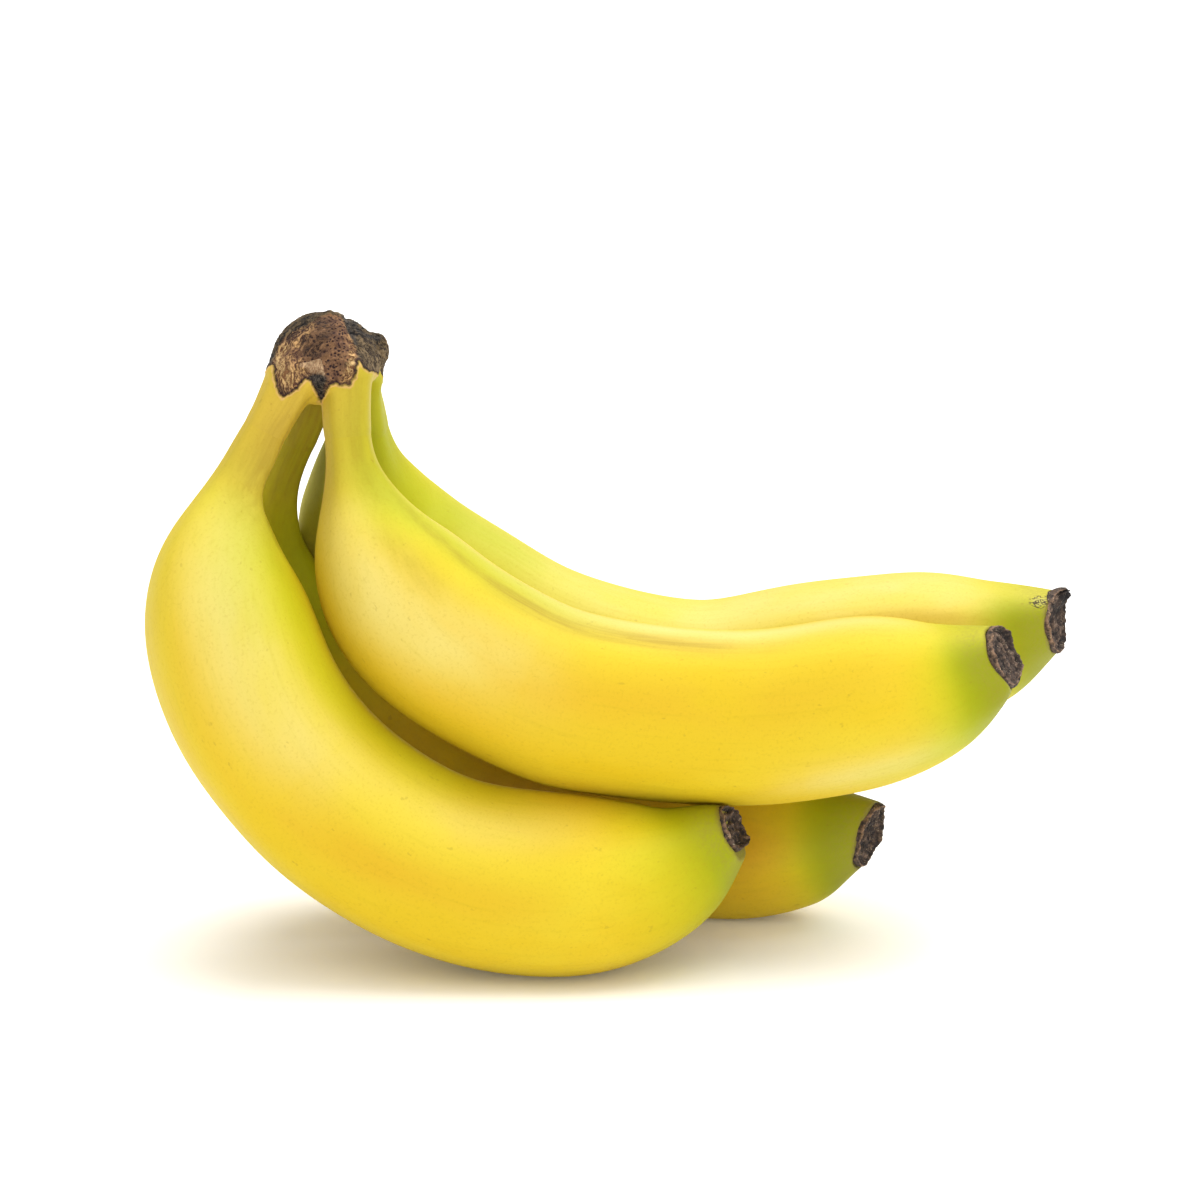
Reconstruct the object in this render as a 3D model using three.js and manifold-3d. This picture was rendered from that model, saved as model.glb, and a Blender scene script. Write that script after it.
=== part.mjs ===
// A hand of four bananas, as cut from the stalk and standing on its two lower fingers.
// Millimetres, +Z up. +X runs from the crown towards the blossom ends, +Y from the front pair of
// fingers to the back pair. The table is the plane z = 0.
import * as THREE from "three";
import { mergeVertices } from "three/addons/utils/BufferGeometryUtils.js";
import Module from "manifold-3d";

const wasm = await Module();
wasm.setup();

// ---- Driving dimensions -------------------------------------------------------------------------
const SIDES = 25; // facets round a finger, five to each of its five faces
const RINGS = 38; // stations along a finger
const DEG = Math.PI / 180;

// Each finger's centreline goes from its root in the crown, down the neck and round the heel, to
// its blossom end. Girths are radii. The front pair bows towards -Y and the back pair towards +Y.
const fingers = {
  lower_front: {
    centreline: [
      [-64.6, -8.3, 126.5], [-73, -11, 111.5], [-77.6, -13, 100], [-80, -17.7, 85], [-75, -23.2, 62],
      [-61.3, -23, 41.3], [-36.3, -24, 24.1], [-12, -24.3, 18.4], [14, -24.6, 22.4], [28.5, -23, 30.4],
    ],
    neck: { radius: 5, length: 19 },
    shoulder: 23,
    bellyRadius: 19.2,
    taper: 40,
    tipRadius: 6.2,
    turn: 52,
    facing: [0.84, -0.05, 0.54],
  },
  upper_front: {
    centreline: [
      [-53.8, -7.8, 127], [-53.5, -9, 113], [-51.5, -11, 102], [-47, -13.5, 89], [-37.5, -14.5, 75.6],
      [-22, -14.3, 64.6], [-6, -14, 57.8], [30, -14, 53.6], [56, -14, 57], [74, -14, 61], [86, -14, 67.2],
    ],
    neck: { radius: 4.7, length: 15 },
    shoulder: 22,
    bellyRadius: 18.8,
    taper: 36,
    tipRadius: 6.8,
    turn: 38,
    facing: [0.96, 0, 0.26],
  },
  upper_back: {
    centreline: [
      [-51.6, 8, 125.5], [-52.4, 11, 112], [-52.8, 16, 101], [-50, 21.8, 89.7], [-42.7, 24.8, 80],
      [-30.5, 25.2, 71.3], [-11.5, 24.7, 60.5], [22, 24.5, 52.9], [48, 23.8, 57.2], [70, 22, 60],
      [86, 20.5, 62.4], [102, 19, 67.5],
    ],
    neck: { radius: 4.7, length: 5 },
    shoulder: 26,
    bellyRadius: 17.9,
    taper: 36,
    tipRadius: 7,
    turn: 43,
    facing: [0.98, -0.1, 0.1],
  },
  lower_back: {
    centreline: [
      [-62.5, 8, 122], [-65.7, 8.5, 113], [-72.2, 9.2, 98], [-75.4, 11.8, 82], [-66.8, 17.2, 52.5],
      [-37, 20.5, 22.5], [-18, 20.5, 17.5], [9, 20, 17.1], [32, 17, 17.2], [46, 12, 18.5], [60, 7, 21.5],
    ],
    neck: { radius: 4.6, length: 17 },
    shoulder: 26,
    bellyRadius: 17.7,
    taper: 36,
    tipRadius: 7.6,
    turn: 20,
    facing: [0.94, -0.3, -0.05],
  },
};

// The crown is the corky pad that the four roots grow from: squashed balls, each given as its
// centre, its three radii and how far it hangs below its centre. A knife took off the pad's front.
const pad = [
  { centre: [-59, 0, 127.2], radii: [12.1, 15.5, 12.4], hang: 5.5 }, // the pad itself
  { centre: [-51, 8.5, 128.8], radii: [5.6, 6.6, 5.2], hang: 4 }, // swelling over the upper back root
  { centre: [-63, 8.5, 124.5], radii: [6.4, 6.4, 6], hang: 3.5 }, // swelling over the lower back root
  { centre: [-64.8, -8.6, 127.2], radii: [6.5, 6.4, 5], hang: 2 }, // collar of the lower front root
  { centre: [-53.8, -8.2, 127.5], radii: [6.2, 6.2, 5], hang: 2 }, // collar of the upper front root
];
const knife = { centre: [-60, -14.4, 128], normal: [-0.05, -0.9, 0.42] };
const scars = [
  { centre: [-65, -12, 128], radii: [4.2, 3.4, 4], hang: 6.5, lean: -14 }, // lower front neck
  { centre: [-53.4, -11.4, 129], radii: [3.6, 3, 4], hang: 5, lean: 8 }, // upper front neck
  { centre: [-59.2, -7.5, 126], radii: [2.4, 3, 4], hang: 6, lean: 0 }, // the crotch between them
];

const flare = { radius: 0.7, length: 7 }; // every neck widens by this much into the crown

// A blossom end is the dry button left on the tip: thicker in the middle, with a crumpled rim.
const button = { share: 0.93, rim: 0.5, thickness: 2.6, seat: 0.6 };
const FIT = 0.3; // clearance round a finger where another piece sits on it

// ---- Fingers ------------------------------------------------------------------------------------
const clamp01 = (t) => Math.min(1, Math.max(0, t));
const swell = (t) => 1 - Math.exp(-(Math.max(0, t) ** 2)); // a bottle's shoulder: from 0 to 1
const fade = (t) => (1 - clamp01(t)) ** 2; // a rounded end: from 1 to 0

// Radius at a distance from the root and at an angle round the finger, measured from its hollow
// side towards the front. The five faces meet in soft ridges, which are sharper on the neck.
function girth(finger, distance, length, angle) {
  const { neck, shoulder, bellyRadius, taper, tipRadius, turn } = finger;
  const grown = swell((distance - neck.length) / shoulder);
  const lost = (bellyRadius - tipRadius) * fade((length - distance) / taper);
  const root = neck.radius + flare.radius * Math.exp(-distance / flare.length);
  const mean = root + (bellyRadius - neck.radius) * grown - lost;
  const ridge = 0.06 - 0.03 * grown;
  return mean * (1 + ridge * Math.cos(5 * (angle - turn * DEG)));
}

// A sphere's grid bent along the centreline: its poles are the two ends, its meridians the sides.
function fingerGeometry(finger, swollen = 0) {
  const points = finger.centreline.map((p) => new THREE.Vector3(...p));
  const curve = new THREE.CatmullRomCurve3(points, false, "centripetal");
  const length = curve.getLength();
  const geometry = new THREE.SphereGeometry(1, SIDES, RINGS);
  const position = geometry.getAttribute("position");
  const uv = geometry.getAttribute("uv");
  const front = new THREE.Vector3();
  const inner = new THREE.Vector3();
  for (let i = 0; i < position.count; i++) {
    const ring = Math.round((1 - uv.getY(i)) * RINGS);
    const share = clamp01((ring - 1) / (RINGS - 2));
    const angle = finger.turn * DEG - 2 * Math.PI * uv.getX(i);
    const onPole = ring === 0 || ring === RINGS;
    const radius = onPole ? 0 : girth(finger, share * length, length, angle) + swollen;
    const tangent = curve.getTangentAt(share);
    front.set(0, -1, 0).addScaledVector(tangent, tangent.y).normalize();
    inner.crossVectors(front, tangent);
    const p = curve.getPointAt(share);
    if (share === 0) p.addScaledVector(tangent, -swollen);
    if (share === 1) p.addScaledVector(tangent, swollen);
    p.addScaledVector(inner, radius * Math.cos(angle));
    p.addScaledVector(front, radius * Math.sin(angle));
    position.setXYZ(i, p.x, p.y, Math.max(0, p.z));
  }
  geometry.deleteAttribute("normal");
  geometry.deleteAttribute("uv");
  return mergeVertices(geometry, 1e-3);
}

// ---- Solids -------------------------------------------------------------------------------------
function solid(geometry) {
  geometry.deleteAttribute("normal");
  geometry.deleteAttribute("uv");
  const welded = mergeVertices(geometry, 1e-3);
  const vertProperties = new Float32Array(welded.getAttribute("position").array);
  const triVerts = new Uint32Array(welded.index.array);
  return new wasm.Manifold(new wasm.Mesh({ numProp: 3, vertProperties, triVerts }));
}

function surface(manifold) {
  const { numProp, vertProperties, triVerts } = manifold.getMesh();
  const geometry = new THREE.BufferGeometry();
  geometry.setAttribute("position", new THREE.BufferAttribute(new Float32Array(vertProperties), numProp));
  geometry.setIndex(Array.from(triVerts));
  return geometry;
}

// A ball with its own reach upwards and downwards, leaning by so many degrees about the Y axis.
function lump({ centre, radii, hang, lean = 0 }) {
  const ball = new THREE.SphereGeometry(1, 20, 12);
  const position = ball.getAttribute("position");
  ball.rotateX(Math.PI / 2);
  for (let i = 0; i < position.count; i++) {
    const z = position.getZ(i);
    const tall = z > 0 ? radii[2] : hang;
    position.setXYZ(i, position.getX(i) * radii[0], position.getY(i) * radii[1], z * tall);
  }
  ball.rotateY(lean * DEG).translate(...centre);
  return solid(ball);
}

// The pad is trimmed by the knife, gains its scars and then makes room for the four necks.
function crownGeometry(necks) {
  const trimmings = new THREE.BoxGeometry(60, 60, 20);
  trimmings.translate(0, 0, 10);
  const normal = new THREE.Vector3(...knife.normal).normalize();
  const turn = new THREE.Quaternion().setFromUnitVectors(new THREE.Vector3(0, 0, 1), normal);
  trimmings.applyQuaternion(turn).translate(...knife.centre);
  let crown = pad.map(lump).reduce((sum, part) => sum.add(part));
  crown = crown.subtract(solid(trimmings));
  crown = scars.map(lump).reduce((sum, part) => sum.add(part), crown);
  return surface(necks.reduce((rest, neck) => rest.subtract(neck), crown));
}

// A ball squashed along the way it faces, crumpled round its rim and hollowed by the finger's tip.
function buttonGeometry(finger) {
  const { share, rim, thickness, seat } = button;
  const ball = new THREE.SphereGeometry(1, 20, 10);
  const position = ball.getAttribute("position");
  for (let i = 0; i < position.count; i++) {
    const p = new THREE.Vector3().fromBufferAttribute(position, i);
    const angle = Math.atan2(p.z, p.x);
    const wave = Math.cos(5 * angle + finger.turn) + 0.6 * Math.cos(8 * angle);
    const reach = share * finger.tipRadius + rim * wave * Math.hypot(p.x, p.z);
    position.setXYZ(i, p.x * reach, p.y * thickness, p.z * reach);
  }
  const tip = new THREE.Vector3(...finger.centreline.at(-1));
  const facing = new THREE.Vector3(...finger.facing).normalize();
  tip.addScaledVector(facing, seat);
  ball.applyQuaternion(new THREE.Quaternion().setFromUnitVectors(new THREE.Vector3(0, 1, 0), facing));
  ball.translate(tip.x, tip.y, tip.z);
  return surface(solid(ball).subtract(solid(fingerGeometry(finger, FIT))));
}

// ---- The hand -----------------------------------------------------------------------------------
const hand = new THREE.Group();
function addPiece(name, geometry, material) {
  const mesh = new THREE.Mesh(geometry, material);
  mesh.name = name;
  hand.add(mesh);
}

const peel = new THREE.MeshStandardMaterial({ color: 0xf2d24a, roughness: 0.5, metalness: 0 });
const cork = new THREE.MeshStandardMaterial({ color: 0x6b4a35, roughness: 0.9, metalness: 0 });
const dry = new THREE.MeshStandardMaterial({ color: 0x2f2522, roughness: 0.9, metalness: 0 });

for (const [name, finger] of Object.entries(fingers)) {
  addPiece(`banana_${name}`, fingerGeometry(finger), peel);
  addPiece(`blossom_end_${name}`, buttonGeometry(finger), dry);
}
const necks = Object.values(fingers).map((finger) => solid(fingerGeometry(finger, FIT)));
addPiece("crown", crownGeometry(necks), cork);

// The origin is on the table under the middle of the hand.
const box = new THREE.Box3().setFromObject(hand);
const middle = box.getCenter(new THREE.Vector3());
hand.position.set(-middle.x, -middle.y, 0);

export default hand;
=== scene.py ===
"""A hand of four bananas lying on a table: the looks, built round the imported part."""

import math

import bmesh
import bpy
import numpy as np
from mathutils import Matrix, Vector, noise
from mathutils.bvhtree import BVHTree


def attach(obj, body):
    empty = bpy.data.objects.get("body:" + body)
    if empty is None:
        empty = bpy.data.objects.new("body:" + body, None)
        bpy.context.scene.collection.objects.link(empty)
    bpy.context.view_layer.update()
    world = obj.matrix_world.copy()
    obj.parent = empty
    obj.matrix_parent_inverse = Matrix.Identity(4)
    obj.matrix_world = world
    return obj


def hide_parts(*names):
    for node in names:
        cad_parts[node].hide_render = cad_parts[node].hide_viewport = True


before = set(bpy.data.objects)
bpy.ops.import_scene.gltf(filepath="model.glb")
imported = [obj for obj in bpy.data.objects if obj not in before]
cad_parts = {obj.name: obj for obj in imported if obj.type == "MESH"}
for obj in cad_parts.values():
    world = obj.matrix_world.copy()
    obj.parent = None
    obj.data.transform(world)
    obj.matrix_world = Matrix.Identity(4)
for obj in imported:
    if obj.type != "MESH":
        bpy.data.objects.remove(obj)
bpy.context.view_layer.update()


# ==== Fingers ====================================================================================
# Each finger is one fruit in a thick, waxy skin with five blunt ridges, which run from its neck to
# its blossom end. It grew on the crown, which holds it by the neck. It ripens from the belly
# towards both ends, so the neck and the tip are the last to turn from green to yellow.
MM = 0.001
FACETS = 25  # sides of the solid that a skin starts from
HALVINGS = 3  # times that its mesh is made finer
SHRINKAGE = 0.0106  # share of its radius that a ring of that many sides loses when it is rounded
TRIM = 14  # mm of the tip that the slant of its end is spread over
NARROWING = 0.07  # share of its radius that the tip loses on the way
DENT = 2.2  # mm that an end is sunk in, where a finger doesn't say how far
APART = 1000  # mm from one finger's place in the patterns to the next one's
TINTS = "green", "orange", "brown", "painted_light", "scar"


def merged(node):
    """A solid's mesh with its corners joined."""
    bm = bmesh.new()
    bm.from_mesh(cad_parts[node].data)
    bmesh.ops.remove_doubles(bm, verts=bm.verts, dist=1e-6)
    return bm


def rings(bm):
    """The corners of a finger ring by ring, from the middle of its root to that of its tip."""
    poles = [v for v in bm.verts if len(v.link_edges) == FACETS]
    ring, seen, found = {max(poles, key=lambda v: v.co.z)}, set(), []
    while ring:
        found.append(ring)
        seen |= ring
        ring = {e.other_vert(v) for v in ring for e in v.link_edges} - seen
    return found


class Spine:
    """A finger's centreline. It gives any point's place on the finger: millimetres from the root,
    the angle from the hollow side towards the front, and the distance from the centreline."""

    def __init__(self, ring_list):
        coarse = np.array([np.mean([v.co for v in ring], axis=0) for ring in ring_list[1:-1]])
        ends = np.vstack([2 * coarse[0] - coarse[1], coarse, 2 * coarse[-1] - coarse[-2]])
        t = np.linspace(0, 1, 8, endpoint=False)[:, None]
        pieces = [
            0.5 * (2 * b + (c - a) * t + (2 * a - 5 * b + 4 * c - d) * t**2
                   + (3 * b - a - 3 * c + d) * t**3)
            for a, b, c, d in zip(ends, ends[1:], ends[2:], ends[3:])
        ]
        self.points = np.vstack([*pieces, coarse[-1:]])
        steps = np.linalg.norm(np.diff(self.points, axis=0), axis=1)
        self.reach = np.concatenate([[0], np.cumsum(steps)])
        self.length = self.reach[-1]
        tangent = np.gradient(self.points, axis=0)
        self.tangent = tangent / np.linalg.norm(tangent, axis=1)[:, None]
        front = np.array([0, -1, 0]) + self.tangent * self.tangent[:, 1:2]
        self.front = front / np.linalg.norm(front, axis=1)[:, None]
        self.hollow = np.cross(self.front, self.tangent)

    def place(self, points):
        """(distance from the root, angle, radius, nearest point of the centreline)"""
        near = np.concatenate([
            np.argmin(((part[:, None] - self.points[None]) ** 2).sum(2), axis=1)
            for part in np.array_split(points, len(points) // 4000 + 1)
        ])
        out = points - self.points[near]
        ahead = (out * self.tangent[near]).sum(1)
        angle = np.arctan2((out * self.front[near]).sum(1), (out * self.hollow[near]).sum(1))
        return self.reach[near] + ahead, angle, np.linalg.norm(out, axis=1), self.points[near]


def points_of(mesh, what="co"):
    """Where the corners are, or which way they face if what is "normal"."""
    flat = np.empty(len(mesh.vertices) * 3)
    mesh.vertices.foreach_get(what, flat)
    return flat.reshape(-1, 3)


def put_points(mesh, points):
    mesh.vertices.foreach_set("co", points.ravel())
    mesh.update()


def finished(name, bm, modifiers=()):
    """An object of that name with the mesh of bm after these modifiers, (type, settings) each."""
    draft = bpy.data.meshes.new(name)
    bm.to_mesh(draft)
    bm.free()
    piece = bpy.data.objects.new(name, draft)
    bpy.context.scene.collection.objects.link(piece)
    for kind, settings in modifiers:
        modifier = piece.modifiers.new(kind.title(), kind)
        for key, value in settings.items():
            setattr(modifier, key, value)
    if modifiers:
        made = bpy.data.meshes.new_from_object(
            piece.evaluated_get(bpy.context.evaluated_depsgraph_get())
        )
        piece.modifiers.clear()
        piece.data = made
        bpy.data.meshes.remove(draft)
        made.name = name
    piece.data.shade_smooth()
    return piece


def note(mesh, name, values):
    """Writes one value a corner, which the materials read under that name."""
    kind = "FLOAT_VECTOR" if values.ndim == 2 else "FLOAT"
    layer = mesh.attributes.new(name, kind, "POINT")
    layer.data.foreach_set("vector" if values.ndim == 2 else "value", values.ravel())


def strokes(reach, angle, radius, marks):
    """How strongly soft strokes cover each corner. A stroke is its path, as (millimetres from the
    root, degrees from the hollow side), its half-width in millimetres and its strength. It fades
    towards both ends of its path."""
    total = np.zeros(len(reach))
    for path, width, strength in marks:
        path = np.array(path, float)
        best = np.full(len(reach), np.inf)
        for (s0, a0), (s1, a1) in zip(path, path[1:]):
            t = np.clip((reach / MM - s0) / (s1 - s0), 0, 1)
            across = np.angle(np.exp(1j * (angle - np.radians(a0 + (a1 - a0) * t)))) * radius / MM
            beside = reach / MM - (s0 + (s1 - s0) * t)
            best = np.minimum(best, across**2 + beside**2)
        done = np.clip((reach / MM - path[0, 0]) / (path[-1, 0] - path[0, 0]), 0, 1)
        ends = 0.35 + 0.65 * np.sin(math.pi * done) ** 0.7
        total += strength * ends * np.exp(-best / width**2)
    return total


def step(low, high, values):
    """0 below low, 1 above high, easing in between. low may be the larger."""
    t = np.clip((values - low) / (high - low), 0, 1)
    return t * t * (3 - 2 * t)


def press(points, presses):
    """Pushes points aside. A press is where, how wide and how far, all in millimetres."""
    for where, width, move in presses:
        near = np.exp(-((points / MM - where) ** 2).sum(1) / width**2)[:, None]
        points += near * np.array(move) * MM


def straightened(reach, angle, radius, order):
    """Where points would be if the fingers were straight and lay one behind the other."""
    along = reach / MM + APART * order
    return np.stack([along, radius / MM * np.cos(angle), radius / MM * np.sin(angle)], 1)


def unripe(reach, angle, length, full, none, strength, hollow):
    """How green the tip still is: full so many mm from the end, and none at so many. hollow is
    the share of that on the hollow side."""
    share = hollow + (1 - hollow) * step(15, 70, np.degrees(np.abs(angle)))
    return step(none, full, (length - reach) / MM) * strength * share


fingers = {
    # facing: the way that its end looks. dent: how far the end is sunk in, mm. unripe: how far from
    # the end its green is full, how far it reaches, mm, how strong it is, and its share on the
    # hollow side. presses are pushes. The rest are strokes: ridges with heights in millimetres,
    # and tints. The pale tint is painted light: painted highlights where the skin faces the light,
    # and on the upper back finger's heel, which is in shade. The orange tint is riper skin and, on
    # the lower front finger, a painted shaded stripe beside a ridge. The brown tint is brown marks
    # and painted shade: in a groove of the upper front finger and on the lower back finger's neck.
    "lower_front": {
        "facing": (0.85, -0.22, 0.47),
        "dent": 0.5,
        "unripe": (3, 34, 0.75, 1.0),
        "ridges": [
            ([(10, 112), (45, 120), (66, 115), (81, 119), (135, 130)], 6, 0.6),
            ([(44, 10), (56, 10), (72, 9), (100, 4), (120, -2), (140, -14), (165, -14)], 6, 0.45),
            ([(-6, 44), (12, 44), (24, 46), (34, 28), (44, 8)], 3, 0.7),
            ([(-6, 12), (12, 12), (28, 12), (34, 6)], 4, -1.3),
        ],
        "green": [
            ([(24, 48), (36, 34), (48, 24), (64, 22), (80, 17), (101, 10), (140, 0)], 9, 0.5),
            ([(26, 100), (34, 75), (46, 60), (64, 50)], 12, 0.4),
            ([(185, 140), (194, 120)], 8, 0.3),
        ],
        # Partly painted shade: the darker warm stripe beside the left ridge, where the facet turns
        # away.
        "orange": [([(52, 106), (66, 105), (81, 104), (110, 95), (150, 85)], 6, 0.8)],
        "brown": [
            ([(0, 55), (18, 52), (34, 50)], 4, 0.3),
            ([(0, 85), (12, 80), (30, 75)], 5, 0.25),
        ],
        # Painted highlights on the upper front of the belly.
        "painted_light": [
            ([(26, 88), (50, 82), (64, 74), (90, 60)], 10, 1.0),
            ([(85, 55), (115, 45), (160, 30)], 7, 0.4),
        ],
        "presses": [
            ((-93, -30, 58), 20, (0.9, 0, 0.2)), ((-84, -30, 36), 14, (0.5, 0, 0.5)),
            ((-78, -10, 119), 6, (0.9, 0, 0.3)), ((-18, -22, 38), 11, (0, 0, 1.2)),
            ((18, -25, 36), 6, (0, 0, 1.2)), ((24.5, -31, 27.5), 3, (1.0, 0, 0)),
            ((-73, -8, 101.3), 6, (-1.9, 0, 0)), ((-74, -13, 108.5), 5, (1.1, 0, 0)),
        ],
    },
    "upper_front": {
        "facing": (0.86, -0.38, 0.38),
        "unripe": (2, 27, 1.0, 0.6),
        "ridges": [
            ([(10, 5), (52, 8), (80, 6), (104, 10), (125, 12), (180, 14)], 5, 0.5),
            ([(10, 30), (52, 28), (82, 26), (105, 24), (125, 24), (170, 26)], 4, -0.4),
            ([(100, 140), (122, 133), (136, 122), (152, 107), (165, 107), (185, 125)], 4.5, 0.6),
        ],
        "green": [
            ([(-10, 40), (10, 38), (24, 28), (40, 20), (75, 12), (100, 9)], 8, 0.65),
            ([(18, 75), (40, 50)], 8, 0.25),
            ([(150, 140), (172, 135), (186, 130)], 9, 0.35),
        ],
        "orange": [
            ([(40, 80), (70, 72), (100, 75), (130, 70), (165, 60)], 9, 0.65),
            ([(34, 135), (50, 125), (70, 115), (90, 110)], 8, 0.5),
        ],
        # Brown marks, and painted shade along the groove beside the top ridge.
        "brown": [
            ([(28, 28), (52, 26), (76, 25)], 2, 0.35),
            ([(62, 27), (84, 25), (105, 23), (125, 23)], 3, 0.5),
            ([(104, 24), (125, 24), (150, 26)], 3, 0.15),
            ([(-5, 75), (8, 70), (26, 60)], 4, 0.35),
            ([(36, 70), (44, 62), (52, 60)], 2.5, 0.2),
        ],
        # Painted highlights: on the heel, along the top ridge and near the tip.
        "painted_light": [
            ([(24, 105), (45, 98), (58, 84), (80, 66)], 10, 0.9),
            ([(30, 4), (80, 4), (125, 3), (172, 3)], 5.5, 1.1),
            ([(140, 128), (162, 130), (176, 130)], 6, 0.9),
        ],
        "presses": [((-15, -22, 43), 10, (0, 0, -0.8)), ((81, -21.5, 61), 6, (2.3, 0, -0.3))],
    },
    "upper_back": {
        "facing": (0.9, -0.42, 0.12),
        "unripe": (6, 25, 1.0, 0.5),
        "ridges": [
            ([(135, 48), (170, 48), (200, 56)], 3, 0.45),
            ([(0, 60), (30, 50), (50, 40)], 3, 0.3),
        ],
        "green": [
            ([(-20, 40), (10, 40), (34, 30), (58, 24), (80, 20)], 20, 0.82),
            ([(10, 170), (30, 168), (50, 160)], 14, 0.45),
            ([(60, 20), (110, 20), (150, 25)], 14, 0.2),
        ],
        "orange": [([(150, 50), (172, 51), (200, 58)], 2, 0.6)],
        "brown": [([(186, 80), (196, 90)], 8, 0.3)],
        # Painted highlight along the top, and painted light on the heel, which lies in shade.
        "painted_light": [
            ([(40, 12), (100, 14), (150, 15), (205, 22)], 15, 1.1),
            ([(10, 170), (30, 168), (50, 165)], 12, 1.0),
        ],
        "scar": [([(201, 32), (205, 30)], 2.4, 0.8)],
        "presses": [
            ((-68, 18, 92), 7, (-1.1, 0, 0.3)), ((-67, 19, 84), 7, (-2.8, 0, 0)),
            ((88, 8, 56), 8, (0, 0, 1.8)), ((-49, 10, 123), 4.5, (-1.5, 0, 0)),
        ],
    },
    "lower_back": {
        "facing": (0.88, -0.45, -0.2),
        "unripe": (4, 22, 1.0, 1.0),
        "green": [
            ([(-5, 45), (10, 45), (24, 45)], 20, 0.5),
            ([(20, 30), (34, 35), (70, 45)], 20, 0.8),
        ],
        "orange": [
            ([(80, 60), (120, 70), (160, 75)], 18, 0.8),
            ([(140, 65), (180, 75), (212, 78)], 16, 1.1),
        ],
        # The neck's brown is partly painted shade, for the shade between the other fingers.
        "brown": [([(-15, 60), (6, 55), (26, 50)], 12, 0.6), ([(150, 70), (198, 80)], 14, 0.22)],
    },
}

spines = {}
skins = {}
roots = {}
for order, (name, traits) in enumerate(fingers.items()):
    node = "banana_" + name
    bm = merged(node)
    crease = bm.edges.layers.float.new("crease_edge")
    ring_list = rings(bm)
    spine = spines[name] = Spine(ring_list)
    inner = [v for ring in ring_list[1:-1] for v in ring]
    angle_of = dict(zip(inner, spine.place(np.array([v.co for v in inner]))[1]))
    ring_of = {v: k for k, ring in enumerate(ring_list) for v in ring}
    # The solid's four-sided faces are each split in two: the split is the edge that goes askew.
    askew = [
        e for e in bm.edges
        if all(v in angle_of for v in e.verts)
        and ring_of[e.verts[0]] != ring_of[e.verts[1]]
        and abs(math.remainder(angle_of[e.verts[0]] - angle_of[e.verts[1]], math.tau))
        > math.pi / FACETS
    ]
    for e in bm.edges:
        at = {ring_of[v] for v in e.verts}
        if at in ({1}, {len(ring_list) - 2}):
            e[crease] = 1.0
    bmesh.ops.dissolve_edges(bm, edges=askew, use_verts=False)
    halve = {"levels": HALVINGS, "render_levels": HALVINGS}
    skin = finished("skin_" + name, bm, [("SUBSURF", halve)])

    points = points_of(skin.data)
    reach, angle, radius, centre = spine.place(points)
    lift = SHRINKAGE * radius / MM
    for path, width, height in traits.get("ridges", []):
        lift += strokes(reach, angle, radius, [(path, width, height)])
    points += (points - centre) / radius[:, None] * lift[:, None] * MM
    # The tip is trimmed aslant, so that its end looks the way that the blossom end does.
    axis, facing = spine.tangent[-1], np.array(traits["facing"])
    slant = axis - facing / (facing @ axis)
    near_tip = np.clip(1 - (spine.length - reach) / (TRIM * MM), 0, 1) ** 1.5
    points -= (points - centre) * (near_tip * NARROWING)[:, None]
    points += (near_tip * ((points - spine.points[-1]) @ slant))[:, None] * axis
    sunk = np.clip(1 - radius / (radius[reach > spine.length - 2 * MM].max() * 0.9), 0, 1)
    dent = near_tip**6 * np.minimum(sunk * 6, 1) * traits.get("dent", DENT) * MM
    points -= dent[:, None] * axis
    press(points, traits.get("presses", []))
    points[:, 2] = np.maximum(points[:, 2], 0)
    put_points(skin.data, points)

    note(skin.data, "from_root", reach / MM)
    note(skin.data, "from_tip", (spine.length - reach) / MM)
    for tint in TINTS:
        note(skin.data, tint, strokes(reach, angle, radius, traits.get(tint, [])))
    note(skin.data, "unripe", unripe(reach, angle, spine.length, *traits["unripe"]))
    note(skin.data, "straight", straightened(reach, angle, radius, order))
    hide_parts(node)
    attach(skin, "root")
    skins[name] = skin
    roots[name] = reach, centre


class Signal:
    """A shader socket that can be added, subtracted and multiplied like a number."""

    def __init__(self, finish, socket):
        self.finish, self.socket = finish, socket

    def _math(self, operation, *values):
        return self.finish.node("Math", {"operation": operation}, list(values))

    def __add__(self, other):
        return self._math("ADD", self, other)

    def __sub__(self, other):
        return self._math("SUBTRACT", self, other)

    def __rsub__(self, other):
        return self._math("SUBTRACT", other, self)

    def __mul__(self, other):
        return self._math("MULTIPLY", self, other)

    __radd__ = __add__
    __rmul__ = __mul__

    def clamp(self):
        return self._math("MINIMUM", self._math("MAXIMUM", self, 0.0), 1.0)

    def ramp(self, low, high):
        """0 at low, 1 at high, easing in between. low may be the larger."""
        return self.finish.node(
            "MapRange", {"interpolation_type": "SMOOTHSTEP"},
            {"Value": self, "From Min": low, "From Max": high},
        )


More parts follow.
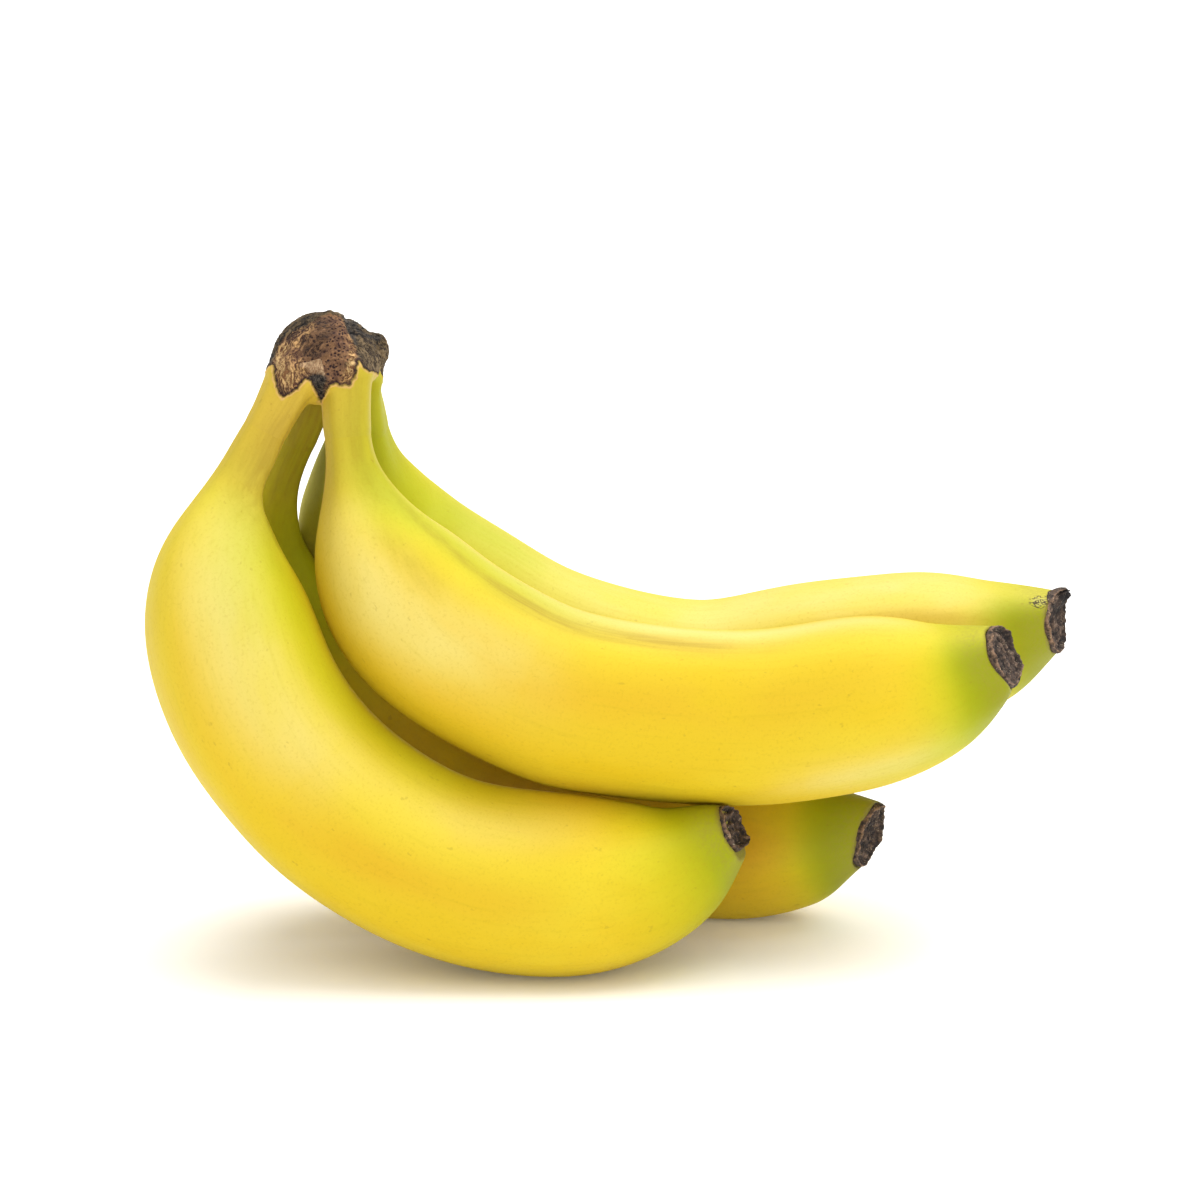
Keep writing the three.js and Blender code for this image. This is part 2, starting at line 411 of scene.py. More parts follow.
class Finish:
    """A material whose nodes are written as expressions."""

    def __init__(self, name, **constants):
        self.material = bpy.data.materials.new(name)
        self.material.use_nodes = True
        self.nodes = self.material.node_tree.nodes
        self.links = self.material.node_tree.links
        self.surface = self.nodes["Principled BSDF"]
        for socket, value in constants.items():
            self.surface.inputs[socket.replace("_", " ")].default_value = value

    def node(self, kind, settings=None, inputs=None, output=0):
        made = self.nodes.new("ShaderNode" + kind)
        for key, value in (settings or {}).items():
            setattr(made, key, value)
        given = inputs.items() if isinstance(inputs, dict) else enumerate(inputs or [])
        for key, value in given:
            socket = made.inputs[key]
            if isinstance(value, Signal):
                self.links.new(value.socket, socket)
            else:
                socket.default_value = value
        return Signal(self, made.outputs[output])

    def attribute(self, name, output="Fac"):
        return self.node("Attribute", {"attribute_name": name}, output=output)

    def noise(self, vector, scale, detail=2.0, roughness=0.5, distortion=0.0):
        return self.node(
            "TexNoise", {},
            {"Vector": vector, "Scale": scale, "Detail": detail, "Roughness": roughness,
             "Distortion": distortion},
        )

    def stretched(self, vector, factors):
        return self.node("VectorMath", {"operation": "MULTIPLY"}, [vector, factors])

    def mix(self, amount, first, second, blend="MIX"):
        """A colour between first and second."""
        # A Mix node's sockets for colours: 0 is the factor, 6 and 7 are the two, and 2 comes out.
        return self.node(
            "Mix", {"data_type": "RGBA", "blend_type": blend}, {0: amount, 6: first, 7: second}, 2
        )

    def feed(self, **signals):
        for socket, signal in signals.items():
            self.links.new(signal.socket, self.surface.inputs[socket.replace("_", " ")])

    def bump(self, height, strength, distance):
        return self.node("Bump", {}, {"Height": height, "Strength": strength, "Distance": distance})


def colour(red, green, blue):
    """A colour as it looks on a screen, from 0 to 255 a channel, in the linear light of shaders."""
    linear = [
        ((c / 255 + 0.055) / 1.055) ** 2.4 if c > 10 else c / 3295 for c in (red, green, blue)
    ]
    return (*linear, 1)


def skin_tone(finish):
    """The colour, relief and roughness of banana skin, from what is noted on the mesh. The colour
    holds painted highlights and painted shade, from the strokes noted there.
    """
    straight = finish.attribute("straight", "Vector")
    from_tip, from_root = finish.attribute("from_tip"), finish.attribute("from_root")
    clouds = finish.noise(finish.stretched(straight, (0.03, 0.07, 0.07)), 1.0, 3.0)
    streaks = finish.noise(finish.stretched(straight, (0.04, 0.8, 0.8)), 1.0, 4.0, 0.6)
    pores = finish.noise(straight, 1.6, 3.0, 0.6)
    tone = finish.mix(clouds.ramp(0.3, 0.7), colour(240, 205, 34), colour(243, 216, 48))
    # Orange strokes: riper skin, and on the lower front finger painted shade in a stripe beside a
    # ridge.
    ripe_and_shaded = finish.attribute("orange") * clouds.ramp(0.25, 0.65)
    tone = finish.mix(ripe_and_shaded.clamp(), tone, colour(236, 184, 34))
    # Painted light: the pale strokes lighten the skin as highlights where it faces the light, and
    # on a shaded heel.
    painted_light = finish.attribute("painted_light") * (clouds.ramp(0.75, 0.35) * 0.5 + 0.5)
    tone = finish.mix(painted_light.clamp(), tone, colour(246, 227, 130))
    neck = 1 - from_root.ramp(19.0, 31.0)
    tone = finish.mix(neck * 0.75, tone, colour(224, 190, 72))
    green = finish.attribute("unripe") + finish.attribute("green")
    tone = finish.mix((green + streaks * 0.2 - 0.1).clamp() * 0.95, tone, colour(190, 200, 0))
    deep = (
        finish.attribute("unripe").ramp(0.3, 1.15) * 0.9
        + finish.attribute("green").ramp(0.5, 1.3) * 0.6
    )
    tone = finish.mix(deep.clamp(), tone, colour(146, 150, 0))
    # Brown strokes: brown marks, and painted shade in a groove and on a neck that lies in shade.
    browned_and_shaded = finish.attribute("brown") * (streaks.ramp(0.3, 0.65) * 0.5 + 0.5)
    tone = finish.mix(browned_and_shaded.clamp(), tone, colour(158, 122, 40))
    tone = finish.mix(streaks.ramp(0.55, 0.8) * 0.11, tone, colour(190, 140, 10))
    tone = finish.mix(pores.ramp(0.5, 0.75) * 0.18, tone, colour(180, 140, 20))
    freckles = finish.noise(finish.stretched(straight, (0.45, 0.7, 0.7)), 1.0, 2.0).ramp(0.7, 0.76)
    tone = finish.mix(freckles * 0.22, tone, colour(150, 110, 30))
    greyed = (1 - from_tip.ramp(2.0, 9.0)) * pores.ramp(0.3, 0.6)
    tone = finish.mix(greyed * 0.3, tone, colour(160, 150, 70))
    withered = (1 - from_tip.ramp(0.0, 1.4)) * pores.ramp(0.2, 0.5)
    tone = finish.mix(withered * 0.6, tone, colour(136, 116, 72))
    scarred = (finish.attribute("scar") + pores * 0.8 - 0.6).ramp(0.2, 0.5)
    tone = finish.mix(scarred * 0.25, tone, colour(222, 214, 150))
    scratch = finish.noise(finish.stretched(straight, (0.45, 1.1, 1.1)), 1.0, 1.0) - 0.5
    scratch = (scratch * scratch).ramp(0.003, 0.0008) * finish.attribute("scar").ramp(0.25, 0.45)
    tone = finish.mix(scratch * 0.9, tone, colour(66, 50, 36))
    tone = finish.mix(1.0, tone, colour(222, 222, 222), "MULTIPLY")
    return tone, pores * 0.6 + streaks * 0.8, 0.5 + pores * 0.14


peel = Finish("waxy_peel", Specular_IOR_Level=0.15)
tone, relief, roughness = skin_tone(peel)
peel.feed(Base_Color=tone, Roughness=roughness, Normal=peel.bump(relief, 0.25, 0.0003))
for skin in skins.values():
    skin.data.materials.append(peel.material)


# ==== Crown ======================================================================================
# The crown is the corky pad where the fingers joined the stalk. A knife cut its front, and the
# wounds dried brown, with the ends of the fibre bundles showing as dots. The skin of the four
# necks runs up onto it and ends there in a torn, pale edge.
SLEEVE = 20  # mm of each neck that the crown's mesh takes in, so that no seam shows
PAD_MIDDLE = (-61.8, 125.6)  # across and up, mm, on a plane that leans back with the cut face
LEAN = math.radians(12)
OVER = 0.15  # mm that the sleeves lie over the skins
SINKING = 0.7  # mm that they sink from there, before they end
SINK_FROM, SINK_TO = 11, 18  # mm from the roots: where they start to sink, and are sunk
GRIP = 0.9, 1.8  # mm from a skin up to which it holds a sleeve in full, and at all

# Outlines on that plane, in millimetres from the pad's middle: across, up.
skin_edge = [
    (-15, -2.2), (-13.1, -2.3), (-12.1, -1.5), (-11.2, -1.3), (-11, -3.8), (-10.2, -7),
    (-9.1, -8.3), (-5.9, -6.4), (-4.2, -4.4), (-3.2, -4.9), (-2.3, -6.8), (-1.5, -8.9),
    (-0.2, -7.2), (0.6, -5.9), (1.9, -5.3), (2.8, -5.7), (5.1, -5.7), (6.1, -4), (6.6, -1.5),
    (6.8, -0.2), (7.6, -1.7), (8.9, -2.5), (10.6, -2.4), (11.9, -1.9), (15, -1.2),
]
cut_edge = [
    (-11.9, -0.8), (-11, 2.1), (-9.5, 4.7), (-7, 6.4), (-4.4, 7.4), (-2.5, 9.1), (0, 10.4),
    (2.1, 10), (3.8, 8.1), (5.1, 5.5), (6.1, 3.2), (6.4, 1.7), (6.8, -0.2),
]
split = [(3.2, 10.2), (4.7, 6.8), (6.3, 3.8)]  # the crack between the cut and the lobe beside it
crown_presses = [  # the notch beside the pad, and the swelling behind it
    ((-55.4, 0, 137), 2.6, (-0.6, 0, -2.2)),
    ((-52, 6, 133.5), 3, (0.6, 0, 0.6)),
    ((-61.8, -2, 139.6), 1.3, (0, 0, 0.9)),
    ((-57.3, -2, 138.6), 1.2, (0.8, 0, 1.2)),
    ((-49.3, 6, 134.5), 3, (1.1, 0, 1.0)),
    ((-49, 10, 123.5), 4, (-1.2, 0, 0)),
]


def from_line(plane, line):
    """How far points of a plane are from a line of straight pieces."""
    best = np.full(len(plane), np.inf)
    for start, end in zip(np.array(line), np.array(line)[1:]):
        run = end - start
        t = np.clip(((plane - start) @ run) / (run @ run), 0, 1)[:, None]
        best = np.minimum(best, np.linalg.norm(plane - start - t * run, axis=1))
    return best


def within(plane, outline):
    """Which points of a plane lie inside an outline."""
    odd = np.zeros(len(plane), bool)
    for (x0, y0), (x1, y1) in zip(outline, [*outline[1:], outline[0]]):
        if y0 != y1:
            crossing = x0 + (plane[:, 1] - y0) / (y1 - y0) * (x1 - x0)
            odd ^= ((y0 > plane[:, 1]) != (y1 > plane[:, 1])) & (plane[:, 0] < crossing)
    return odd


def rough(points, size, octaves=3):
    """Natural unevenness of that size, about -1 to 1."""
    return np.array([noise.fractal(Vector(p / size), 1.0, 2.0, octaves) for p in points])


bm = merged("crown")
for name, spine in spines.items():
    neck = merged("banana_" + name)
    past = [v for v in neck.verts if spine.place(np.array([v.co]))[0][0] >= SLEEVE * MM]
    bmesh.ops.delete(neck, geom=past, context="VERTS")
    ends = [e for e in neck.edges if e.is_boundary]
    bmesh.ops.contextual_create(neck, geom=ends)
    for v in neck.verts:
        reach, _, radius, middle = (part[0] for part in spine.place(np.array([v.co])))
        if radius > MM:
            swell = 0.45 - 1.1 * (max(reach, 0) / MM / SLEEVE) ** 1.5
            v.co = Vector(middle) + (v.co - Vector(middle)) * (1 + swell * MM / radius)
    spare = bpy.data.meshes.new("neck")
    neck.to_mesh(spare)
    neck.free()
    bm.from_mesh(spare)
    bpy.data.meshes.remove(spare)
crown = finished("cork_pad", bm, [
    ("REMESH", {"mode": "VOXEL", "voxel_size": 1.0 * MM}),
    ("SMOOTH", {"factor": 0.6, "iterations": 5}),
    ("SUBSURF", {"levels": 2, "render_levels": 2}),
])

points = points_of(crown.data)
press(points, crown_presses)

# Every point belongs to the neck that it is nearest to.
places = [spine.place(points) for spine in spines.values()]
nearest = np.argmin([place[2] for place in places], axis=0)
everyone = np.arange(len(points))
reach = np.array([place[0] for place in places])[nearest, everyone]
angle = np.array([place[1] for place in places])[nearest, everyone]
radius = np.array([place[2] for place in places])[nearest, everyone]
lengths = np.array([spine.length for spine in spines.values()])[nearest]
# The sleeves lie just over the skins, and sink into them before they end.
ready = bpy.context.evaluated_depsgraph_get()
trees = [BVHTree.FromObject(skin, ready) for skin in skins.values()]
over = OVER - SINKING * step(SINK_FROM, SINK_TO, reach / MM)
hold = step(0, 5, reach / MM)
for k in np.flatnonzero(hold):
    under, normal, _, away = trees[nearest[k]].find_nearest(points[k])
    share = hold[k] * step(GRIP[1], GRIP[0], away / MM)
    points[k] += share * (np.array(under) + np.array(normal) * over[k] * MM - points[k])
put_points(crown.data, points)
# The skins in turn shrink under the pad, towards their roots.
for name, skin in skins.items():
    bare = points_of(skin.data)
    along, middle = roots[name]
    bare -= (bare - middle) * step(SINK_FROM, 7, along / MM)[:, None] / 6
    put_points(skin.data, bare)
out = points_of(crown.data, "normal")
mm = points / MM
face = np.stack([mm[:, 0] - PAD_MIDDLE[0],
                 mm[:, 1] * math.sin(LEAN) + mm[:, 2] * math.cos(LEAN) - PAD_MIDDLE[1]], 1)
ragged = rough(mm, 1.6) * 0.3
in_front = step(4, 0, mm[:, 1] + 4 * out[:, 1])
# Above the skin's edge is cork: in front the edge given above, round the back a wavy one.
above = within(face, [*skin_edge, (15, 30), (-15, 30)])
front_cork = np.where(above, 1, -1) * from_line(face, skin_edge)
back_cork = face[:, 1] + 3.0 - 3.2 * rough(mm * (1, 1, 0.2), 5.0, 3)
depth = in_front * (front_cork + 0.25 * rough(mm, 0.9, 2)) + (1 - in_front) * (back_cork + ragged)
is_cork = step(-0.15, 0.15, depth)
# The lower side of the cut runs along the skin's edge.
cut_line = [*cut_edge, *skin_edge[18:4:-1]]
from_cut = from_line(face, [*cut_line, cut_line[0]])
cut_depth = np.where(within(face, cut_line), 1, -1) * from_cut + ragged
is_cut = step(-0.2, 0.3, cut_depth) * step(-0.1, 0.5, -out[:, 1] + 0.3) * is_cork


def zone(*lines):
    """How much of each point is near these lines of the plane, (line, half-width) each."""
    covered = sum(np.exp(-(from_line(face, line) / width) ** 2) for line, width in lines)
    return np.clip(covered, 0, 1)


dots = is_cut * zone(
    ([(0.6, 8.9), (0.4, 5.5), (-1.4, 2.1), (-1.7, 0.4)], 3.6),
    ([(2.5, 3), (3.2, -0.2), (2.3, -2.2), (1.2, -4)], 1.9),
)
scrap = is_cut * zone(
    ([(-4.9, -1.4), (-3.4, -1.6), (-2.4, -1.5)], 0.7),
    ([(-3, -1.2), (-1.5, -0.7), (-1.2, -1.8)], 0.8),
    ([(-3, -2.4), (-1.6, -2.6), (-0.9, -3.4)], 0.8),
)
tan = is_cork * zone(
    ([(12.4, 5.4), (13.2, 2.5)], 0.8),
    ([(-10.4, 0), (-9.2, 2.6)], 1.0),
    ([(-9.8, -1.5), (-8.6, -3), (-8.2, -4.5)], 1.5),
    ([(5.3, -1.2), (4.8, -2.8)], 1.0),
    ([(5.4, 0.6), (5.8, -0.6)], 0.5),
)
dusk = is_cut * zone(
    ([(-8.5, 5), (-6.4, 6.6), (-4, 7.9), (-1.6, 9)], 1.5),
    ([(-4.6, 4), (-3.8, 1.6)], 1.3),
    ([(-0.2, 6.5), (-1.2, 4), (-2.2, 1.5)], 1.8),
    ([(-9.4, -6.8), (-8.2, -7.6)], 0.8),
)
# Black zones: dark tissue, and painted shade in the crack beside the lobe and the groove past it.
black = is_cork * zone(
    (split, 0.4),
    ([(4.6, 9), (6.2, 6.6), (8, 5.9), (10, 5.6)], 0.5),
    ([(-13, -1.5), (-12.6, 1)], 1),
    ([(-2.6, -4.5), (-0.9, -4.6)], 1.1),
    ([(-1.8, -5), (-1.4, -7.5)], 1.3),
)
ribs = zone(
    ([(7.5, 3), (9.4, 1.2), (11, 2.4)], 2.0),
    ([(9, -0.6), (11, -1)], 1.6),
) * is_cork * (1 - is_cut)
rim = np.exp(-((depth - 0.25) / 0.25) ** 2)
lip = np.exp(-((depth + 0.2) / 0.2) ** 2)

# The fibres turn round a place low on the right of the cut.
swirl = face - (3.6, -2.5)
bend = np.linalg.norm(swirl, axis=1) + 0.8 * rough(mm, 2.0, 3)
turn = np.arctan2(swirl[:, 1], swirl[:, 0])
fibre = np.stack([bend, turn * 1.5, mm[:, 1] * 0.15], 1)
threads = rough(fibre, 0.45, 3)
pits = np.array([noise.voronoi(Vector(p / 0.75))[0][0] for p in mm])
lift = (
    0.15 * lip - 0.1 * is_cork * (1 - is_cut) * step(0, 1, depth) - 0.3 * is_cut
    + 0.14 * threads * is_cork * (1 - 0.6 * dots) + 0.35 * dots * (pits - 0.6)
    + 0.17 * rough(mm, 0.9) * is_cork + 0.2 * rough(mm, 2.6, 2) * is_cork
    - 0.5 * zone((split, 0.5)) * is_cork
    + 0.4 * step(0.4, 0.7, scrap) + 0.35 * zone(([(-1.8, -4.8), (-1.4, -7)], 1.1)) * is_cork
)
put_points(crown.data, points + out * lift[:, None] * MM)

note(crown.data, "from_root", np.maximum(reach, 0) / MM)
note(crown.data, "from_tip", (lengths - reach) / MM)
note(crown.data, "straight", straightened(reach, angle, radius, nearest))
for tint in TINTS:
    value = np.zeros(len(points))
    for order, traits in enumerate(fingers.values()):
        mine = nearest == order
        value[mine] = strokes(reach[mine], angle[mine], radius[mine], traits.get(tint, []))
    note(crown.data, tint, value)
note(crown.data, "unripe", np.zeros(len(points)))
for name, value in {
    "cork": is_cork, "cut": is_cut, "dots": dots, "scrap": scrap, "tan": tan, "dusk": dusk,
    "black": black, "ribs": ribs, "rim": rim, "lip": lip, "fibre": fibre,
}.items():
    note(crown.data, name, value)

cork = Finish("cork_and_skin", Specular_IOR_Level=0.2)
tone, relief, roughness = skin_tone(cork)
where = cork.node("TexCoord", output="Object")
fibres = cork.attribute("fibre", "Vector")
thread = cork.noise(cork.stretched(fibres, (2.6, 0.7, 1.0)), 1.0, 5.0, 0.65, 0.6)
speck = cork.noise(where, 1600.0, 4.0, 0.65)
blotch = cork.noise(where, 420.0, 4.0, 0.6, 0.4)
drift = cork.node("TexNoise", {}, {"Vector": where, "Scale": 500.0, "Detail": 2.0}, output=1)
drift = cork.node(
    "VectorMath", {"operation": "MULTIPLY_ADD"}, [drift, (0.0012, 0.0012, 0.0012), where]
)
cells = {"Vector": drift, "Scale": 1350.0}
bundle = cork.node("TexVoronoi", {}, cells)
chance = cork.node("SeparateColor", {}, [cork.node("TexVoronoi", {}, cells, output=1)])
hollow_bundle = (bundle + (1 - chance) * 0.2).ramp(0.55, 0.36)
grain = (thread * 0.62 + speck * 0.38).ramp(0.43, 0.57)


def grained(dark, light):
    """The colour of fibres that go from dark to light."""
    return cork.mix(grain, colour(*dark), colour(*light))


rind = grained((20, 16, 15), (118, 98, 70))
rind = cork.mix(blotch.ramp(0.5, 0.65) * 0.6, rind, grained((44, 34, 28), (146, 122, 90)))
wood = grained((94, 60, 46), (232, 182, 120))
wood = cork.mix(blotch.ramp(0.42, 0.6) * 0.8, wood, grained((76, 48, 44), (162, 118, 84)))
dotted = cork.mix(blotch.ramp(0.4, 0.6), colour(172, 128, 90), colour(128, 92, 70))
dotted = cork.mix(hollow_bundle, dotted, colour(56, 34, 36))
dotted = cork.mix(speck.ramp(0.5, 0.65) * 0.6, dotted, colour(96, 68, 54))
dead = cork.mix(cork.attribute("cut"), rind, wood)
dotty = (cork.attribute("dots") * 1.4 + blotch - 0.5).ramp(0.3, 0.7)
dead = cork.mix(dotty, dead, dotted)
dim = (cork.attribute("dusk") * (blotch * 1.6 + 0.1)).clamp() * (1 - grain * 0.5)
dead = cork.mix(dim, dead, grained((48, 32, 28), (112, 86, 62)))
gold = (cork.attribute("tan") * (blotch * 1.2 + 0.3)).clamp()
dead = cork.mix(gold, dead, grained((140, 96, 60), (240, 200, 138)))
dead = cork.mix(cork.attribute("ribs") * 0.7, dead, grained((64, 50, 38), (160, 136, 102)))
torn = (cork.attribute("scrap") + blotch * 0.7 - 0.35).ramp(0.42, 0.52) * 0.85
dead = cork.mix(torn, dead, grained((178, 136, 98), (226, 188, 144)))
# Black: dark dried tissue, and painted shade down the crack and groove beside the lobe.
black_and_crack_shade = (cork.attribute("black") * 1.3).clamp()
dead = cork.mix(black_and_crack_shade, dead, grained((12, 11, 13), (104, 94, 84)))
dead = cork.mix(cork.attribute("rim") * 0.9, dead, colour(52, 30, 38))
dead = cork.mix(1.0, dead, colour(220, 220, 220), "MULTIPLY")
tone = cork.mix(cork.attribute("lip") * 0.75, tone, colour(214, 170, 110))
crust = (grain + blotch - hollow_bundle * dotty * 0.6) * cork.attribute("cork")
cork.feed(
    Base_Color=cork.mix(cork.attribute("cork"), tone, dead),
    Roughness=roughness + cork.attribute("cork") * 0.2,
    Normal=cork.bump(relief * 0.2 + crust, 0.7, 0.0006),
)
crown.data.materials.append(cork.material)
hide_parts("crown")
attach(crown, "root")


# ==== Blossom ends ===============================================================================
# Where the flower fell off, a button of dried tissue is left on the tip: nearly black and crumpled
# inside, with a paler, ragged rim that the end of the skin has shrunk onto.
MERIDIANS, PARALLELS = 192, 120  # how finely a button's mesh is made

buttons = {
    # size: half its height and half its width, mm. shift: mm from the tip's middle, outwards,
    # upwards and sideways. outline: how far its edge reaches, as a share of that, at eight places
    # from the top round by the front. flaps: where on the face (degrees from the top, share of the
    # radius), how wide, mm, and how far they stick out, mm (outwards, upwards, sideways).
    "lower_front": {
        "size": (5.3, 6.0), "shift": (0.4, 0.6, 0), "seed": 3,
        "outline": (1.0, 1.03, 0.97, 0.9, 0.78, 0.9, 0.9, 1.0),
        "flaps": [
            ((-150, 0.9), 2.2, (0.8, 0, 0)),
            ((-60, 0.9), 2, (0.6, 0.2, 0)),
            ((10, 1), 1.8, (0, 0.5, 0.3)),
        ],
    },
    "upper_front": {
        "size": (6.5, 6.9), "shift": (0.5, -0.1, 0), "seed": 8,
        "outline": (0.98, 0.98, 1.0, 1.05, 1.06, 1.08, 0.93, 1.03),
        "flaps": [
            ((-50, 0.95), 2.4, (0.4, 0.1, 0)),
            ((-125, 1), 2.4, (0.5, 0, -0.1)),
            ((10, 1.02), 1.6, (0, 0.4, 0.6)),
        ],
    },
    "upper_back": {
        "size": (6.5, 6.6), "shift": (0, 0, 0), "seed": 12,
        "outline": (1.05, 0.95, 0.95, 1.0, 1.0, 0.95, 0.85, 1.1),
        "flaps": [
            ((-35, 0.8), 2.0, (2.4, 1.1, 0)),
            ((-10, 0.9), 2.4, (1.0, 0.5, 0)),
            ((165, 1), 1.8, (0.3, -0.4, 0)),
        ],
    },
    "lower_back": {
        "size": (6.9, 7.0), "shift": (0, 0, 0), "seed": 21,
        "outline": (1.0, 1.0, 1.0, 1.05, 1.0, 0.95, 0.95, 1.0),
        "flaps": [
            ((-10, 0.95), 2.6, (1.0, 0.3, 0)),
            ((-100, 1), 2.4, (0.5, 0, 0)),
            ((160, 1), 2, (0.6, -0.2, 0)),
        ],
    },
}
# From the middle of its face to the middle of its back: share of the radius, height in mm.
section = np.array([
    (0, -0.6), (0.2, -0.6), (0.4, -0.6), (0.6, -0.7), (0.76, -0.7), (0.86, -0.5), (0.92, 0),
    (0.96, 0.3), (1.0, 0.25), (1.03, -0.1), (1.03, -0.7), (1.0, -1.2), (0.92, -1.7), (0.7, -2.4),
    (0.4, -2.8), (0, -3.0),
])

dry = Finish("dry_blossom", Specular_IOR_Level=0.35)
where = dry.node("TexCoord", output="Object")
crumple = dry.noise(where, 900.0, 5.0, 0.65)
flecks = dry.noise(where, 3500.0, 2.0)
flesh = dry.mix(crumple.ramp(0.35, 0.65), colour(32, 24, 22), colour(90, 72, 60))
# Painted shade: darker in the hollows between the creases.
flesh = dry.mix(dry.attribute("hollow").ramp(0.0, 0.9), flesh, colour(24, 18, 17))
# Painted highlight: lighter on the crests of the creases.
crest_highlight = dry.attribute("crest_highlight") * crumple.ramp(0.35, 0.55) * 0.7
flesh = dry.mix(crest_highlight, flesh, colour(130, 106, 88))
frayed = dry.attribute("edge") * crumple.ramp(0.3, 0.55) * 0.85
flesh = dry.mix(frayed, flesh, colour(150, 118, 92))
char = dry.mix(crumple.ramp(0.4, 0.7), colour(10, 9, 10), colour(58, 50, 46))
flesh = dry.mix(dry.attribute("charred"), flesh, char)
dust = flecks.ramp(0.62, 0.7) * crumple.ramp(0.45, 0.6) * 0.7
flesh = dry.mix(dust, flesh, colour(206, 190, 160))
dry.feed(
    Base_Color=flesh,
    Roughness=0.6 + crumple * 0.3,
    Normal=dry.bump(crumple + flecks * 0.2, 0.8, 0.0006),
)

for name, traits in buttons.items():
    node = "blossom_end_" + name
    bm = bmesh.new()
    bmesh.ops.create_uvsphere(bm, u_segments=MERIDIANS, v_segments=PARALLELS, radius=1)
    button = finished("button_" + name, bm)
    ball = points_of(button.data)
    share = np.arccos(np.clip(ball[:, 2], -1, 1)) / math.pi
    around = np.arctan2(ball[:, 1], ball[:, 0])
    evenly = np.linspace(0, 1, len(section))
    rho, height = (np.interp(share, evenly, column) for column in section.T)
    # Unevenness of its own along the edge and over the face: the seed shifts where it is read.
    ring = np.stack([np.cos(around), np.sin(around), np.full(len(around), traits["seed"] * 3.7)], 1)
    tall, wide = traits["size"]
    corners = np.append(traits["outline"], traits["outline"][0])
    outline = np.interp(np.degrees(around) % 360, np.linspace(0, 360, len(corners)), corners)
    outline += 0.04 * rough(ring * 1.6, 1.0, 2) + 0.035 * rough(ring * 5, 1.0, 3)
    rho *= 1 + (outline - 1) * step(0.2, 0.9, rho)
    flat = np.stack(
        [rho * np.cos(around) * tall, rho * np.sin(around) * wide,
         np.full(len(rho), traits["seed"] * 5.1)], 1
    )
    inside = step(1.0, 0.9, rho) * step(0.6, 0.4, share)
    on_lip = np.exp(-((rho - 0.98) / 0.05) ** 2) * step(0.7, 0.5, share)
    bent = rho * 11 + 3.6 * rough(flat, 3.6, 2)
    creases = 0.5 + 0.3 * np.sin(bent) + 0.4 * rough(flat, 1.3, 4)
    height = (
        height + inside * (1.2 * creases - 0.4) + on_lip * (0.5 * rough(ring * 3.0, 1.0, 3) + 0.4)
    )
    height += 0.15 * rough(flat, 0.7, 3) * step(0.75, 0.55, share)
    facing = np.array(fingers[name]["facing"]) / np.linalg.norm(fingers[name]["facing"])
    upward = np.array((0, 0, 1)) - facing * facing[2]
    upward /= np.linalg.norm(upward)
    beside = np.cross(facing, upward)
    axes = np.stack([facing, upward, beside])
    local = np.stack([height, flat[:, 0], flat[:, 1]], 1)
    charred = np.zeros(len(flat))
    for (turn_to, out_to), width, push in traits["flaps"]:
        towards = math.radians(turn_to)
        spot = out_to * np.array((math.cos(towards) * tall, math.sin(towards) * wide))
        near = np.exp(-((flat[:, :2] - spot) ** 2).sum(1) / width**2) * step(0.75, 0.6, share)
        local += near[:, None] * np.array(push) * (1 + 0.5 * rough(flat, 1.0, 2))[:, None]
        charred = np.maximum(charred, near * step(1.5, 2.4, push[0]))
    tip = spines[name].points[-1] / MM
    put_points(button.data, (tip + (local + traits["shift"]) @ axes) * MM)
    # The hollows of the creases get painted shade, their tops a painted highlight.
    note(button.data, "hollow", np.clip(inside * (0.9 - creases * 1.3), 0, 1))
    note(button.data, "crest_highlight", np.clip(inside * (creases - 0.72) * 4, 0, 1))
    edge = np.exp(-((rho - 0.99) / 0.02) ** 2) * step(0.75, 0.6, share)
    note(button.data, "edge", np.clip(edge, 0, 1))
    note(button.data, "charred", np.clip(charred * 1.6, 0, 1))
    button.data.materials.append(dry.material)
    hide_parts(node)
    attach(button, "root")


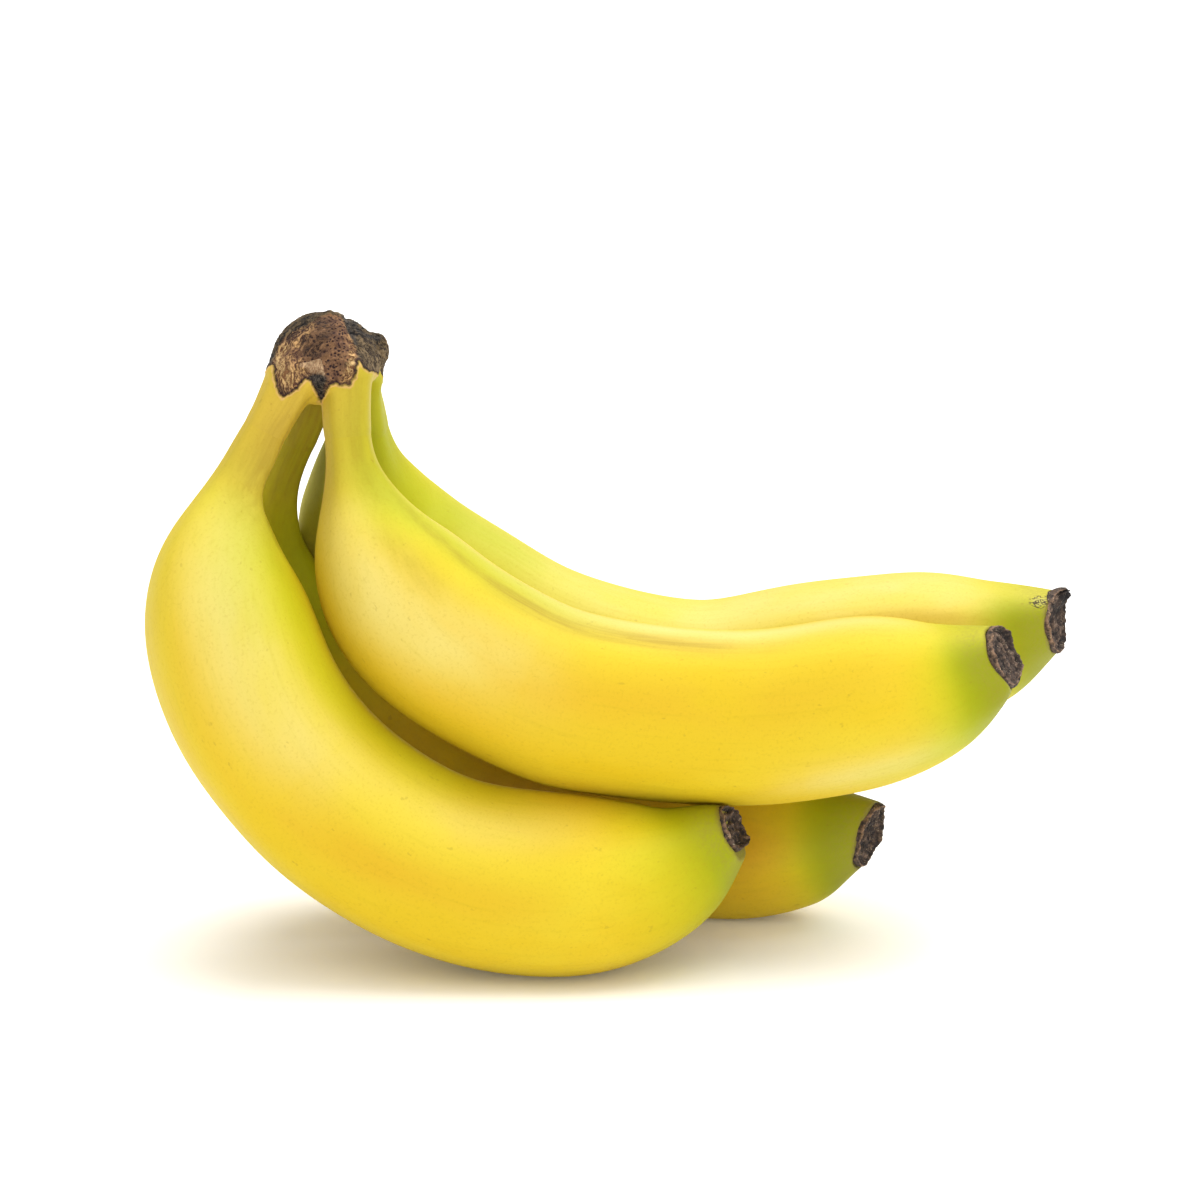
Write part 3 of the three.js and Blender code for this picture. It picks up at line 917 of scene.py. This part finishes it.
# ==== Table, light and camera ====================================================================
# A plain white table in a white room. The room lights the hand from all sides, and two broad soft
# lights stand over it and before it.
bm = bmesh.new()
bmesh.ops.create_grid(bm, x_segments=1, y_segments=1, size=20)
table = finished("table", bm)
white = Finish(
    "white_table", Base_Color=(0.95, 0.935, 0.905, 1), Roughness=0.9,
    Emission_Color=(1, 1, 1, 1), Emission_Strength=0.06,
)
table.data.materials.append(white.material)

world = bpy.data.worlds.new("room")
bpy.context.scene.world = world
world.use_nodes = True
sky = world.node_tree.nodes
direction = sky.new("ShaderNodeTexCoord")
parts = sky.new("ShaderNodeSeparateXYZ")
glow = sky.new("ShaderNodeValToRGB")
stops = [(0.0, 0.4), (0.12, 0.34), (0.3, 0.38), (0.6, 0.7), (1.0, 1.2)]  # height, brightness
for at, level in stops[1:-1]:
    glow.color_ramp.elements.new(at)
for element, (at, level) in zip(glow.color_ramp.elements, stops):
    element.position = at
    element.color = (level, level, level, 1)
world.node_tree.links.new(direction.outputs["Generated"], parts.inputs[0])
world.node_tree.links.new(parts.outputs["Z"], glow.inputs["Fac"])
world.node_tree.links.new(glow.outputs["Color"], sky["Background"].inputs["Strength"])
sky["Background"].inputs["Color"].default_value = (1, 1, 1, 1)

for name, energy, spread, place in (
    ("softbox", 2.8, 65, (0.28, 0.2, 1)),
    ("front_panel", 1.0, 70, (0.35, -1, 0.65)),
):
    sun = bpy.data.objects.new(name, bpy.data.lights.new(name, "SUN"))
    sun.data.energy = energy
    sun.data.angle = math.radians(spread)
    sun.rotation_euler = Vector(place).to_track_quat("Z", "Y").to_euler()
    bpy.context.scene.collection.objects.link(sun)

ELEVATION = math.radians(12)
DISTANCE = 0.725  # m from the camera to what it aims at
aim = Vector((-4.18, -0.12, 76.5)) * MM
camera = bpy.data.objects.new("camera", bpy.data.cameras.new("camera"))
camera.data.lens = 100
camera.data.sensor_width = 36
camera.location = aim + DISTANCE * Vector((0, -math.cos(ELEVATION), math.sin(ELEVATION)))
camera.rotation_euler = (math.pi / 2 - ELEVATION, 0, 0)
bpy.context.scene.collection.objects.link(camera)
bpy.context.scene.camera = camera
bpy.context.scene.view_settings.view_transform = "Standard"
